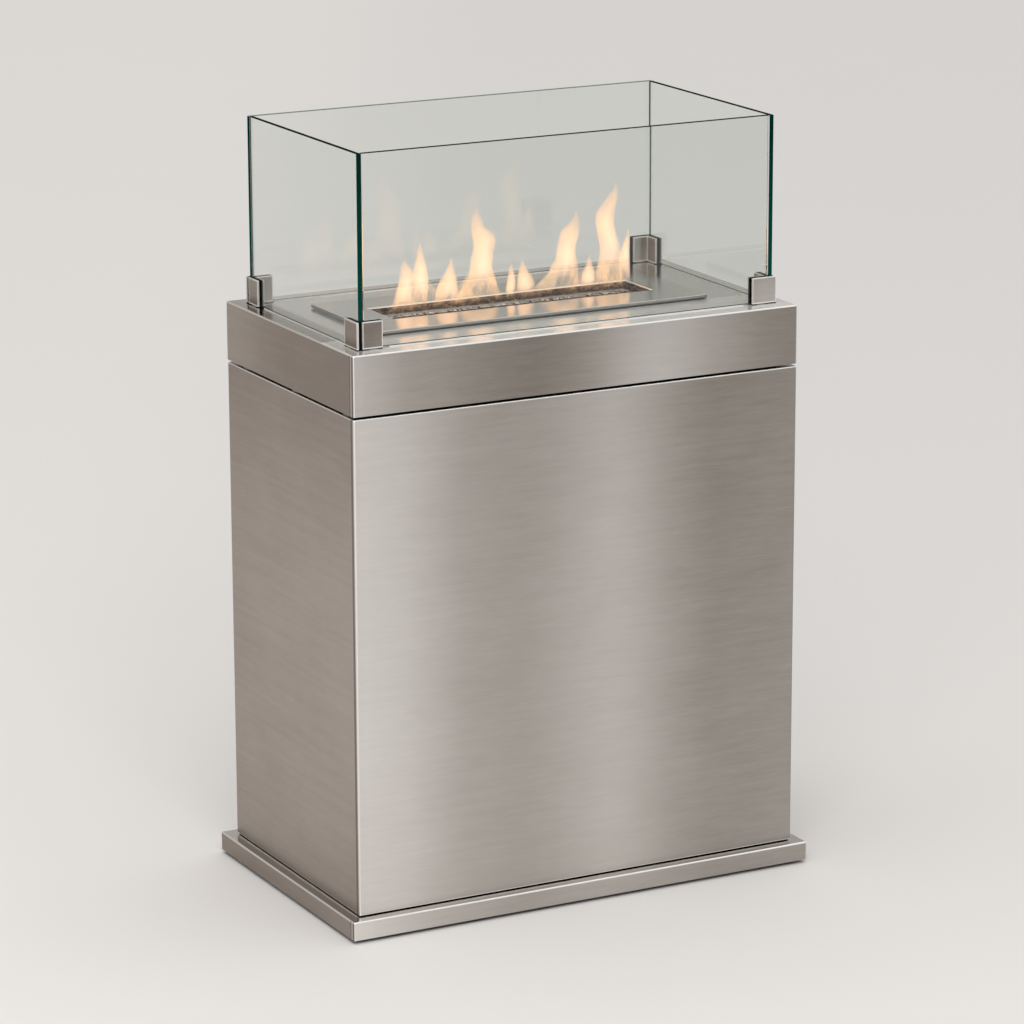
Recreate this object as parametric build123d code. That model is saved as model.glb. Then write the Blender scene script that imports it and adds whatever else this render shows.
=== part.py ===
"""Free-standing bioethanol fireplace in brushed stainless steel.

A plinth on four rubber feet carries a hollow sheet-metal cabinet. A shallow burner housing
stands on the cabinet over a dark shadow gap. The burner unit drops into the housing's top, and
a wind guard of four glass panes stands around it in rubber-lined corner clips.

Millimetres, +Z up, -Y is the front. The origin is on the floor under the middle of the plinth.
"""
from build123d import *
import os

# ---------------------------------------------------------------- driving dimensions
# body
body_width = 650.0          # cabinet and housing, left to right
body_depth = 385.0          # cabinet and housing, front to back, rear panel included
edge_radius = 2.5           # outside radius of the folded sheet edges

# plinth and feet
floor_gap = 5.0             # dark gap between the floor and the plinth's skirt
plinth_overhang = 16.0      # plinth beyond the cabinet on every side
plinth_height = 25.0
plinth_sheet = 2.0
foot_inset = 58.0           # foot axis from the plinth's outer faces
foot_radius = 18.0
foot_edge = 1.5             # rounded lower edge of the rubber
foot_recess_radius = 8.0    # hides the bolt's head
foot_recess_depth = 12.0
foot_washer_height = 1.5
foot_washer_clearance = 0.3

# cabinet
joint_height = 1.0          # dark seal line between plinth and cabinet
joint_inset = 3.0
joint_width = 12.0
cabinet_height = 659.0
cabinet_sheet = 1.5
cabinet_flange = 24.0       # flanges folded inwards round the top, the bottom and the rear
rear_panel_sheet = 1.5
rear_panel_inset = 2.0      # bare edge of the cabinet left round the rear panel
rear_screw_inset = 12.0     # screw axis from the cabinet's outer faces
rear_screw_columns = 3
rear_screw_rows = 4
stiffener_width = 60.0      # hat section behind the front sheet
stiffener_depth = 14.0
stiffener_lip = 14.0
stiffener_sheet = 1.2
stiffener_end_gap = 40.0    # hat section short of the cabinet's top and bottom

# housing
shadow_gap = 3.0            # dark gap between cabinet and housing
housing_height = 79.0
housing_sheet = 2.0
base_sheet = 1.5
base_upstand = 18.0
heat_shield_sheet = 1.0
heat_shield_rise = 5.0
heat_shield_margin = 8.0    # shield beyond the tank on every side

# M6 bolts: feet to plinth, cabinet to plinth, housing to cabinet
bolt_radius = 3.0
bolt_hole_clearance = 0.3
thread_clearance = 0.1      # radial, bolt in nut
bolt_inset = 14.0           # bolt axis from the cabinet's sides
bolt_end_inset = 42.0       # outer bolts from the cabinet's front and rear
bolt_head_height = 4.0
bolt_head_flats = 10.0
bolt_nut_height = 5.0
bolt_tail = 2.0             # thread left standing past the nut
bolt_columns = 3
spacer_radius = 8.0

# M4 screws of the rear panel
screw_radius = 2.0
screw_hole_clearance = 0.25
screw_thread_clearance = 0.05
screw_head_radius = 3.8
screw_head_height = 2.2
screw_head_edge = 1.3       # rounding of the button head
screw_length = 8.0
screw_socket_flats = 2.5
screw_socket_depth = 1.2

# burner unit
burner_plate_width = 484.0
burner_plate_depth = 196.0
burner_plate_rim = 4.5      # height of the plate's folded rim
burner_plate_sheet = 2.0
burner_plate_radius = 1.5   # folded edge
burner_corner_radius = 2.5
seal_height = 1.2           # dark seal between the plate's rim and the housing
seal_width = 10.0
seal_inset = 3.0
slot_length = 385.0         # clear opening of the throat
slot_width = 76.0
throat_sheet = 1.5
throat_step = 0.5           # throat's top edge below the plate's top face
throat_clearance = 0.1
throat_depth = 10.0         # plate's top face down to the tank's deck
cutout_overlap = 16.0       # plate beyond the cut-out in the housing's top
tank_length = 424.0
tank_width = 134.0
tank_height = 60.0          # deck included
tank_sheet = 1.5
tank_radius = 6.0
wool_width = 29.0
wool_end_gap = 5.0          # wool to the throat's end walls
wool_back_margin = 3.0      # wool slot to the throat's rear wall
wool_clearance = 0.3
wool_recess = 0.5           # wool's top below the deck's top face
cage_sheet = 1.0
cage_lip_gap = 2.0          # cage's top edge below the deck
cage_hole_radius = 3.0
cage_hole_pitch = 25.0

# shutter, which closes the wool slot and puts the flame out
shutter_sheet = 1.5
shutter_width = 34.0
shutter_gap = 0.3           # shutter over the deck
shutter_end_gap = 1.5       # shutter's ends and edges to the throat
lip_height = 4.0
guide_width = 4.0
guide_height = 2.0
guide_gap = 0.5             # guide over the shutter
guide_end_gap = 2.0         # guide short of the throat's front and rear walls

# glass guard
glass_thickness = 6.0
glass_height = 249.0
glass_inset_side = 22.5     # pane's outer face in from the housing's side
glass_inset_front = 29.0    # pane's outer face in from the housing's front and rear
glass_chamfer = 0.6
glass_joint = 1.0           # open joint between two panes in a corner
clip_height = 35.0
clip_leg = 32.0             # clip leg from the outer corner of the glass
clip_plate = 2.5
clip_opening = 4.0          # outer corner of the glass to the plate that stops short of it
clip_chamfer = 0.4
rubber_face = 1.5           # rubber between glass and clip plate
rubber_proud = 1.0          # rubber past the free ends of the clip plates
rubber_base = 1.0           # rubber under glass and clip plates
glass_clearance = 0.05      # pane to rubber
tab_width = 12.0            # tab through the housing's top, welded below
tab_clearance = 0.1

# ---------------------------------------------------------------- levels and half sizes
half_w = body_width / 2
half_d = body_depth / 2
plinth_half_w = half_w + plinth_overhang
plinth_half_d = half_d + plinth_overhang
plinth_top = floor_gap + plinth_height
plinth_under = plinth_top - plinth_sheet
cabinet_bottom = plinth_top + joint_height
cabinet_top = cabinet_bottom + cabinet_height
cabinet_rear = half_d - rear_panel_sheet
housing_bottom = cabinet_top + shadow_gap
housing_top = housing_bottom + housing_height
base_top = housing_bottom + base_sheet
plate_bottom = housing_top + seal_height
plate_top = plate_bottom + burner_plate_rim
plate_under = plate_top - burner_plate_sheet
deck_top = plate_top - throat_depth
deck_bottom = deck_top - tank_sheet
tank_bottom = deck_top - tank_height
tank_floor = tank_bottom + tank_sheet
wool_rear = slot_width / 2 - wool_back_margin
wool_front = wool_rear - wool_width
wool_length = slot_length - 2 * wool_end_gap
shutter_bottom = deck_top + shutter_gap
shutter_top = shutter_bottom + shutter_sheet
shutter_front = -slot_width / 2 + shutter_end_gap
glass_half_w = half_w - glass_inset_side
glass_half_d = half_d - glass_inset_front
glass_bottom = housing_top + rubber_base
SIDES = {"left": -1, "right": 1}
ENDS = {"front": -1, "rear": 1}


# ---------------------------------------------------------------- helpers
def block(x0, x1, y0, y1, z0, z1):
    """Box between two corners, given in any order."""
    size = (abs(x1 - x0), abs(y1 - y0), abs(z1 - z0))
    return Pos((x0 + x1) / 2, (y0 + y1) / 2, (z0 + z1) / 2) * Box(*size)


def centred(width, depth, z0, z1, y=0.0):
    """Box centred left to right, and on y front to back."""
    return block(-width / 2, width / 2, y - depth / 2, y + depth / 2, z0, z1)


def rod(x, y, z0, z1, radius):
    """Upright round bar, its ends given in any order."""
    return Pos(x, y, (z0 + z1) / 2) * Cylinder(radius, abs(z1 - z0))


def hexagon(x, y, z0, z1, flats):
    """Upright hexagonal bar, given across its flats, its ends in any order."""
    outline = RegularPolygon(flats / 2, 6, major_radius=False)
    return Pos(x, y, min(z0, z1)) * extrude(outline, abs(z1 - z0))


def spread(count, half):
    """Places spaced evenly from -half to half."""
    return [half * (2 * i / (count - 1) - 1) for i in range(count)]


def save(name, *solids):
    """Writes one node. Several solids are a group of separate pieces."""
    shape = solids[0] if len(solids) == 1 else Compound(children=list(solids))
    export_step(shape, f"parts/{name}.step")


def corners():
    """Name and signs of each corner."""
    return [(f"{end}_{side}", SIDES[side], ENDS[end]) for end in ENDS for side in SIDES]


def bolt_places():
    """Bolt axes in the cabinet's side flanges."""
    return [(s * (half_w - bolt_inset), y) for s in (-1, 1)
            for y in spread(bolt_columns, half_d - bolt_end_inset)]


def drill(shape, places, z0, z1, radius):
    """Takes upright holes out of a shape."""
    for x, y in places:
        shape -= rod(x, y, z0, z1, radius)
    return shape


def bolt(x, y, seat, end):
    """Hex bolt with its head against the seat and its thread reaching to the end."""
    head = seat + (bolt_head_height if seat > end else -bolt_head_height)
    return hexagon(x, y, seat, head, bolt_head_flats) + rod(x, y, seat, end, bolt_radius)


def nut(x, y, z0, z1):
    """Plain hex nut."""
    return hexagon(x, y, z0, z1, bolt_head_flats) - rod(
        x, y, z0, z1, bolt_radius + thread_clearance)


# ---------------------------------------------------------------- plinth and feet
def foot_places():
    """Foot axes by corner."""
    return {name: (side * (plinth_half_w - foot_inset), end * (plinth_half_d - foot_inset))
            for name, side, end in corners()}


def plinth_shell():
    """Folded pan, open underneath, with welded corners."""
    outer = centred(2 * plinth_half_w, 2 * plinth_half_d, floor_gap, plinth_top)
    outer = fillet(outer.edges().filter_by(Axis.Z), edge_radius)
    outer = fillet(outer.faces().sort_by(Axis.Z)[-1].edges(), edge_radius)
    inner = centred(2 * (plinth_half_w - plinth_sheet), 2 * (plinth_half_d - plinth_sheet),
                    floor_gap, plinth_under)
    places = bolt_places() + list(foot_places().values())
    return drill(outer - inner, places, plinth_under, plinth_top,
                 bolt_radius + bolt_hole_clearance)


def foot(x, y):
    """Rubber foot with a recess from below for the bolt that holds it."""
    body = rod(x, y, 0, plinth_under, foot_radius)
    body = fillet(body.edges().filter_by(GeomType.CIRCLE).sort_by(Axis.Z)[0], foot_edge)
    body -= rod(x, y, 0, foot_recess_depth, foot_recess_radius)
    return body - rod(x, y, foot_recess_depth, plinth_under, bolt_radius + bolt_hole_clearance)


def foot_washer(x, y):
    low = foot_recess_depth - foot_washer_height
    disc = rod(x, y, low, foot_recess_depth, foot_recess_radius - foot_washer_clearance)
    return disc - rod(x, y, low, foot_recess_depth, bolt_radius + bolt_hole_clearance)


def make_plinth():
    save("plinth_shell", plinth_shell())
    places = foot_places()
    for name, (x, y) in places.items():
        save(f"foot_{name}", foot(x, y))
    save("foot_washers", *[foot_washer(x, y) for x, y in places.values()])
    nut_top = plinth_top + bolt_nut_height
    seat = foot_recess_depth - foot_washer_height
    save("foot_bolts", *[bolt(x, y, seat, nut_top + bolt_tail) for x, y in places.values()])
    save("foot_nuts", *[nut(x, y, plinth_top, nut_top) for x, y in places.values()])


# ---------------------------------------------------------------- cabinet
def rear_screw_places():
    """Screw axes round the rear panel, as x and z."""
    half = half_w - rear_screw_inset
    low = cabinet_bottom + rear_screw_inset
    high = cabinet_top - rear_screw_inset
    heights = [(low + high) / 2 + z for z in spread(rear_screw_rows, (high - low) / 2)]
    across = [(x, z) for x in spread(rear_screw_columns, half) for z in (low, high)]
    upright = [(s * half, z) for s in (-1, 1) for z in heights[1:-1]]
    return across + upright


def rod_along_y(x, z, radius, y0, y1):
    """Round bar along Y."""
    return Pos(x, (y0 + y1) / 2, z) * Rot(90, 0, 0) * Cylinder(radius, y1 - y0)


def cabinet_shell():
    """Front and sides folded from one sheet, with flanges round the top, bottom and rear."""
    middle_y = (cabinet_rear - half_d) / 2
    outer = block(-half_w, half_w, -half_d, cabinet_rear, cabinet_bottom, cabinet_top)
    outer = fillet(outer.edges(), edge_radius)
    sheet, flange = cabinet_sheet, cabinet_flange
    hollow = block(-half_w + sheet, half_w - sheet, -half_d + sheet, cabinet_rear - sheet,
                   cabinet_bottom + sheet, cabinet_top - sheet)
    window = centred(2 * (half_w - flange), cabinet_rear + half_d - 2 * flange,
                     cabinet_bottom, cabinet_top, middle_y)
    rear_window = block(-half_w + flange, half_w - flange, 0, cabinet_rear,
                        cabinet_bottom + flange, cabinet_top - flange)
    shell = outer - hollow - window - rear_window
    for low in (cabinet_bottom, cabinet_top - sheet):
        shell = drill(shell, bolt_places(), low, low + sheet, bolt_radius + bolt_hole_clearance)
    for x, z in rear_screw_places():
        shell -= rod_along_y(x, z, screw_radius + screw_thread_clearance,
                             cabinet_rear - sheet, cabinet_rear)
    return shell


def base_joint():
    """Dark seal strip between plinth and cabinet."""
    outer = block(-half_w + joint_inset, half_w - joint_inset, -half_d + joint_inset,
                  cabinet_rear - joint_inset, plinth_top, cabinet_bottom)
    margin = joint_inset + joint_width
    inner = block(-half_w + margin, half_w - margin, -half_d + margin,
                  cabinet_rear - margin, plinth_top, cabinet_bottom)
    return drill(outer - inner, bolt_places(), plinth_top, cabinet_bottom,
                 bolt_radius + bolt_hole_clearance)


def rear_panel():
    inset = rear_panel_inset
    panel = block(-half_w + inset, half_w - inset, cabinet_rear, half_d,
                  cabinet_bottom + inset, cabinet_top - inset)
    for x, z in rear_screw_places():
        panel -= rod_along_y(x, z, screw_radius + screw_hole_clearance, cabinet_rear, half_d)
    return panel


def rear_screw(x, z):
    """Button-head screw with a hexagon socket, pointing to the front."""
    head = rod_along_y(x, z, screw_head_radius, half_d, half_d + screw_head_height)
    head = fillet(head.edges().filter_by(GeomType.CIRCLE).sort_by(Axis.Y)[-1], screw_head_edge)
    shank = rod_along_y(x, z, screw_radius, half_d - screw_length, half_d)
    outline = RegularPolygon(screw_socket_flats / 2, 6, major_radius=False)
    socket = Pos(x, half_d + screw_head_height, z) * Rot(90, 0, 0) * extrude(
        outline, screw_socket_depth)
    return head + shank - socket


def front_stiffener():
    """Hat section spot-welded behind the middle of the front sheet."""
    back = -half_d + cabinet_sheet
    low = cabinet_bottom + stiffener_end_gap
    high = cabinet_top - stiffener_end_gap
    half = stiffener_width / 2
    sheet = stiffener_sheet
    hat = block(-half, half, back, back + stiffener_depth, low, high)
    hat -= block(-half + sheet, half - sheet, back, back + stiffener_depth - sheet, low, high)
    for s in (-1, 1):
        hat += block(s * (half - sheet), s * (half + stiffener_lip), back, back + sheet,
                     low, high)
    return hat


def make_cabinet():
    save("base_joint", base_joint())
    save("cabinet_shell", cabinet_shell())
    save("front_stiffener", front_stiffener())
    save("rear_panel", rear_panel())
    save("rear_panel_screws", *[rear_screw(x, z) for x, z in rear_screw_places()])
    seat = cabinet_bottom + cabinet_sheet
    nut_low = plinth_under - bolt_nut_height
    save("plinth_bolts", *[bolt(x, y, seat, nut_low - bolt_tail) for x, y in bolt_places()])
    save("plinth_nuts", *[nut(x, y, nut_low, plinth_under) for x, y in bolt_places()])


# ---------------------------------------------------------------- housing
def housing_shell():
    """Inverted pan with the cut-out for the burner and slots for the clips' tabs."""
    outer = centred(body_width, body_depth, housing_bottom, housing_top)
    outer = fillet(outer.edges().filter_by(Axis.Z), edge_radius)
    outer = fillet(outer.faces().sort_by(Axis.Z)[-1].edges(), edge_radius)
    wall = 2 * housing_sheet
    under = housing_top - housing_sheet
    inner = centred(body_width - wall, body_depth - wall, housing_bottom, under)
    cutout = centred(burner_plate_width - 2 * cutout_overlap,
                     burner_plate_depth - 2 * cutout_overlap, under, housing_top)
    shell = outer - inner - cutout
    for _, side, end in corners():
        for slot in clip_tabs(side, end, tab_clearance):
            shell -= slot
    return shell


def housing_base():
    """Pan welded into the foot of the housing, which the bolts hold down."""
    width, depth = body_width - 2 * housing_sheet, body_depth - 2 * housing_sheet
    top = housing_bottom + base_upstand
    pan = centred(width, depth, housing_bottom, top)
    pan -= centred(width - 2 * base_sheet, depth - 2 * base_sheet, base_top, top)
    return drill(pan, bolt_places(), housing_bottom, base_top, bolt_radius + bolt_hole_clearance)


def gap_spacer(x, y):
    ring = rod(x, y, cabinet_top, housing_bottom, spacer_radius)
    return ring - rod(x, y, cabinet_top, housing_bottom, bolt_radius + bolt_hole_clearance)


def heat_shield():
    """Bent sheet on two feet, which keeps the tank's heat off the base."""
    width = tank_length + 2 * heat_shield_margin
    depth = tank_width + 2 * heat_shield_margin
    top = base_top + heat_shield_rise
    shield = centred(width, depth, base_top, top)
    return shield - centred(width - 2 * heat_shield_sheet, depth, base_top,
                            top - heat_shield_sheet)


def make_housing():
    save("housing_shell", housing_shell())
    save("housing_base", housing_base())
    save("heat_shield", heat_shield())
    save("gap_spacers", *[gap_spacer(x, y) for x, y in bolt_places()])
    nut_top = cabinet_top - cabinet_sheet
    nut_low = nut_top - bolt_nut_height
    save("housing_bolts", *[bolt(x, y, base_top, nut_low - bolt_tail) for x, y in bolt_places()])
    save("housing_nuts", *[nut(x, y, nut_low, nut_top) for x, y in bolt_places()])


# ---------------------------------------------------------------- burner unit
def slot_box(margin, z0, z1):
    """The slot's outline, grown by a margin."""
    return centred(slot_length + 2 * margin, slot_width + 2 * margin, z0, z1)


def burner_plate():
    """Sheet with its rim folded down and the slot for the throat."""
    plate = centred(burner_plate_width, burner_plate_depth, plate_bottom, plate_top)
    plate = fillet(plate.edges().filter_by(Axis.Z), burner_corner_radius)
    plate = fillet(plate.faces().sort_by(Axis.Z)[-1].edges(), burner_plate_radius)
    rim = 2 * burner_plate_sheet
    plate -= centred(burner_plate_width - rim, burner_plate_depth - rim, plate_bottom, plate_under)
    return plate - slot_box(throat_sheet + throat_clearance, plate_under, plate_top)


def burner_seal():
    """Dark strip that the plate's rim rests on."""
    width = burner_plate_width - 2 * seal_inset
    depth = burner_plate_depth - 2 * seal_inset
    ring = centred(width, depth, housing_top, plate_under)
    ring -= centred(width - 2 * seal_width, depth - 2 * seal_width, housing_top, plate_under)
    rim = 2 * burner_plate_sheet
    inside = centred(burner_plate_width - rim, burner_plate_depth - rim, plate_bottom, plate_under)
    foot = centred(width, depth, housing_top, plate_bottom)
    return ring & (inside + foot)


def burner_throat():
    """Sleeve between plate and deck, which lines the slot."""
    top = plate_top - throat_step
    return slot_box(throat_sheet, deck_top, top) - slot_box(0, deck_top, top)


def wool_slot(z0, z1):
    """Opening in the deck that the wool fills."""
    return block(-wool_length / 2 - wool_clearance, wool_length / 2 + wool_clearance,
                 wool_front - wool_clearance, wool_rear + wool_clearance, z0, z1)


def tank_deck():
    deck = centred(tank_length, tank_width, deck_bottom, deck_top)
    deck = fillet(deck.edges().filter_by(Axis.Z), tank_radius)
    return deck - wool_slot(deck_bottom, deck_top)


def burner_tank():
    """Deep-drawn pan under the deck."""
    pan = centred(tank_length, tank_width, tank_bottom, deck_bottom)
    pan = fillet(pan.edges().filter_by(Axis.Z), tank_radius)
    inner = centred(tank_length - 2 * tank_sheet, tank_width - 2 * tank_sheet,
                    tank_floor, deck_bottom)
    inner = fillet(inner.edges().filter_by(Axis.Z), tank_radius - tank_sheet)
    return pan - inner


def wool_cage():
    """Perforated trough that stands on the tank's floor and holds the wool upright."""
    top = deck_bottom - cage_lip_gap
    reach = wool_clearance + cage_sheet
    cage = block(-wool_length / 2, wool_length / 2, wool_front - reach, wool_rear + reach,
                 tank_floor, top)
    cage -= block(-wool_length / 2, wool_length / 2, wool_front - wool_clearance,
                  wool_rear + wool_clearance, tank_floor + cage_sheet, top)
    middle_y = (wool_front + wool_rear) / 2
    middle_z = (tank_floor + top) / 2
    columns = int(wool_length // cage_hole_pitch)
    for x in spread(columns, cage_hole_pitch * (columns - 1) / 2):
        cage -= Pos(x, middle_y, middle_z) * Rot(90, 0, 0) * Cylinder(
            cage_hole_radius, wool_width + 4 * reach)
    return cage


def ceramic_wool():
    """Block that soaks up the fuel and shows as the burning strip."""
    return block(-wool_length / 2, wool_length / 2, wool_front, wool_rear,
                 tank_floor + cage_sheet, deck_top - wool_recess)


def shutter():
    """Sliding lid, parked open at the front."""
    half = slot_length / 2 - shutter_end_gap
    return block(-half, half, shutter_front, shutter_front + shutter_width,
                 shutter_bottom, shutter_top)


def shutter_lip():
    """Strip welded upright on the lid's front edge, to pull it by."""
    half = slot_length / 2 - guide_width - shutter_end_gap
    return block(-half, half, shutter_front, shutter_front + shutter_sheet,
                 shutter_top, shutter_top + lip_height)


def shutter_guide(side):
    """Strip over the shutter's end, welded to the throat's end wall."""
    low = shutter_top + guide_gap
    reach = slot_width / 2 - guide_end_gap
    wall = slot_length / 2
    return block(side * (wall - guide_width), side * wall, -reach, reach,
                 low, low + guide_height)


def make_burner():
    save("burner_plate", burner_plate())
    save("burner_seal", burner_seal())
    save("burner_throat", burner_throat())
    save("tank_deck", tank_deck())
    save("burner_tank", burner_tank())
    save("wool_cage", wool_cage())
    save("ceramic_wool", ceramic_wool())
    save("shutter", shutter())
    save("shutter_lip", shutter_lip())
    save("shutter_guides", shutter_guide(-1), shutter_guide(1))


# ---------------------------------------------------------------- glass guard
def corner_block(side, end, a0, a1, b0, b1, z0, z1):
    """Box measured inwards from the outer corner of the glass, a along X and b along Y."""
    return block(side * (glass_half_w - a0), side * (glass_half_w - a1),
                 end * (glass_half_d - b0), end * (glass_half_d - b1), z0, z1)


def pane(width, depth, x, y):
    """Upright pane with ground edges."""
    sheet = block(x - width / 2, x + width / 2, y - depth / 2, y + depth / 2,
                  glass_bottom, glass_bottom + glass_height)
    return chamfer(sheet.edges(), glass_chamfer)


def side_pane(side):
    """Covers the front pane's end, and stops short of the rear pane."""
    short = glass_thickness + glass_joint
    depth = 2 * glass_half_d - short
    return pane(glass_thickness, depth, side * (glass_half_w - glass_thickness / 2), -short / 2)


def end_pane(end):
    """The front pane stands between the side panes, and the rear pane runs the full width."""
    short = glass_thickness + glass_joint if end < 0 else 0
    width = 2 * (glass_half_w - short)
    return pane(width, glass_thickness, 0, end * (glass_half_d - glass_thickness / 2))


rubber_out = glass_clearance + rubber_face                     # outer face of the outer rubber
plate_out = rubber_out + clip_plate                            # outer face of the outer plates
rubber_in = glass_thickness + glass_clearance + rubber_face    # inner face of the inner rubber
plate_in = rubber_in + clip_plate                              # inner face of the inner bracket
clip_bottom = housing_top + rubber_base
clip_top = clip_bottom + clip_height
side_tab_middle = (clip_leg + plate_in) / 2                    # tabs sit half way along a leg
front_tab_middle = (clip_leg + glass_thickness) / 2


def clip_tabs(side, end, clearance):
    """Tabs of the three plates in one corner, or their slots when a clearance is given."""
    half = tab_width / 2 + clearance
    under = housing_top - housing_sheet
    mid = side_tab_middle
    front_mid = front_tab_middle
    c = clearance
    return [
        corner_block(side, end, -plate_out - c, -rubber_out + c, mid - half, mid + half,
                     under, clip_bottom),
        corner_block(side, end, front_mid - half, front_mid + half, -plate_out - c,
                     -rubber_out + c, under, clip_bottom),
        corner_block(side, end, rubber_in - c, plate_in + c, mid - half, mid + half,
                     under, clip_bottom),
        corner_block(side, end, mid - half, mid + half, rubber_in - c, plate_in + c,
                     under, clip_bottom),
    ]


def edged(shape):
    """Breaks the visible top edges of a clip plate."""
    return chamfer(shape.faces().sort_by(Axis.Z)[-1].edges(), clip_chamfer)


def clip_outer(side, end):
    """Two flat plates outside the glass: one covers the corner, the other stops short of it."""
    tabs = clip_tabs(side, end, 0)
    side_covers = side == end
    side_start = -plate_out if side_covers else clip_opening
    end_start = clip_opening if side_covers else -plate_out
    beside = corner_block(side, end, -plate_out, -rubber_out, side_start, clip_leg,
                          clip_bottom, clip_top)
    before = corner_block(side, end, end_start, clip_leg, -plate_out, -rubber_out,
                          clip_bottom, clip_top)
    return edged(beside) + tabs[0], edged(before) + tabs[1]


def clip_inner(side, end):
    """One bracket folded to an L inside the glass."""
    tabs = clip_tabs(side, end, 0)
    bracket = corner_block(side, end, rubber_in, clip_leg, rubber_in, clip_leg,
                           clip_bottom, clip_top)
    bracket -= corner_block(side, end, plate_in, clip_leg, plate_in, clip_leg,
                            clip_bottom, clip_top)
    return edged(bracket) + tabs[2] + tabs[3]


def clip_rubber(side, end):
    """Rubber lining of the corner: a foot under glass and plates, and both linings."""
    foot = corner_block(side, end, -plate_out, clip_leg, -plate_out, clip_leg,
                        housing_top, clip_bottom)
    foot -= corner_block(side, end, plate_in, clip_leg, plate_in, clip_leg,
                         housing_top, clip_bottom)
    free = clip_leg + rubber_proud
    outer = corner_block(side, end, -rubber_out, free, -rubber_out, free, clip_bottom, clip_top)
    outer -= corner_block(side, end, -glass_clearance, free, -glass_clearance, free,
                          clip_bottom, clip_top)
    inward = glass_thickness + glass_clearance
    inner = corner_block(side, end, inward, free, inward, free, clip_bottom, clip_top)
    inner -= corner_block(side, end, rubber_in, free, rubber_in, free, clip_bottom, clip_top)
    rubber = foot + outer + inner
    for slot in clip_tabs(side, end, 0):
        rubber -= slot
    return rubber


def make_guard():
    for name, side in SIDES.items():
        save(f"glass_{name}", side_pane(side))
    for name, end in ENDS.items():
        save(f"glass_{name}", end_pane(end))
    for name, side, end in corners():
        save(f"clip_plates_{name}", *clip_outer(side, end))
        save(f"clip_bracket_{name}", clip_inner(side, end))
        save(f"clip_rubber_{name}", clip_rubber(side, end))


os.makedirs("parts", exist_ok=True)
make_plinth()
make_cabinet()
make_housing()
make_burner()
make_guard()
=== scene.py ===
"""Dresses the bioethanol fireplace: brushed steel, glass guard, wool, flames, trim and a plain stage.

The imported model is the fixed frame, in metres, +Z up, front at -Y. Every piece made here takes
its place from the frame's boxes.
"""
import math
from dataclasses import dataclass

import bmesh
import bpy
from bpy.props import FloatProperty, FloatVectorProperty, IntProperty, PointerProperty
from bpy.types import Operator, Panel, PropertyGroup
from mathutils import Matrix, Vector, noise


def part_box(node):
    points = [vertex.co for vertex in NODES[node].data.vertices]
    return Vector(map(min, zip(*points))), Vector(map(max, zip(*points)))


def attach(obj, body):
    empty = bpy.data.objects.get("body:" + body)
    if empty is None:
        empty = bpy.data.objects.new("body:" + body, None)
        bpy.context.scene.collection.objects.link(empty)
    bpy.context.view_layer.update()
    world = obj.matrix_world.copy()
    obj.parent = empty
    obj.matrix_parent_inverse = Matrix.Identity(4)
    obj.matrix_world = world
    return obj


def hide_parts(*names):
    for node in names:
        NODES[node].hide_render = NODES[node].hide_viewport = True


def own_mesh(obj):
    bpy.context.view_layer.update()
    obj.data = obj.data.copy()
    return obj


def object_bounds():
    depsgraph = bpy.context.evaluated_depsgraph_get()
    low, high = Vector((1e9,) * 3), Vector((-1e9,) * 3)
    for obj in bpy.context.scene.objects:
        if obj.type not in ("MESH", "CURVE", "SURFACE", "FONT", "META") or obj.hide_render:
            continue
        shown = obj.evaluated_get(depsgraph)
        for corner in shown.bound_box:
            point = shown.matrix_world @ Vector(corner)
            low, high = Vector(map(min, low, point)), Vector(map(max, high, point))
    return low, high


bl_info = {
    "name": "Fireplace dresser",
    "version": (1, 0, 0),
    "blender": (4, 5, 0),
    "location": "3D View > Sidebar > Fireplace",
    "description": "Finishes, glass, wool and flames for a bioethanol fireplace, and its stage",
    "category": "Object",
}

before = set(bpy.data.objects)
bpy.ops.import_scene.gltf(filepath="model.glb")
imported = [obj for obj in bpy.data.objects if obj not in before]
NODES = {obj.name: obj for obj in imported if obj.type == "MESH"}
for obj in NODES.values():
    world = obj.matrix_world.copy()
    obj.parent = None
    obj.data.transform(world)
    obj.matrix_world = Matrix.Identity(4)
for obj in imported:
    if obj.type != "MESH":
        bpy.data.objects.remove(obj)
CAD_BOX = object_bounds()
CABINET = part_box("cabinet_shell")
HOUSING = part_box("housing_shell")
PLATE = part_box("burner_plate")
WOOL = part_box("ceramic_wool")
WOOL_MIDDLE_Y = (WOOL[0].y + WOOL[1].y) / 2
# the clips' plates end level with the panes' feet, and only their tabs reach further down
CLIP_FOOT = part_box("glass_front")[0].z
CLIP_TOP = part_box("clip_plates_front_left")[1].z
CORNERS = [f"{end}_{side}" for end in ("front", "rear") for side in ("left", "right")]
MM = 0.001
# height of the throat's bright rim, a painted highlight
RIM = 1.6 * MM
# a face counts as facing an axis when its normal reaches further than this along it
FACING = 0.7


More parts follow.
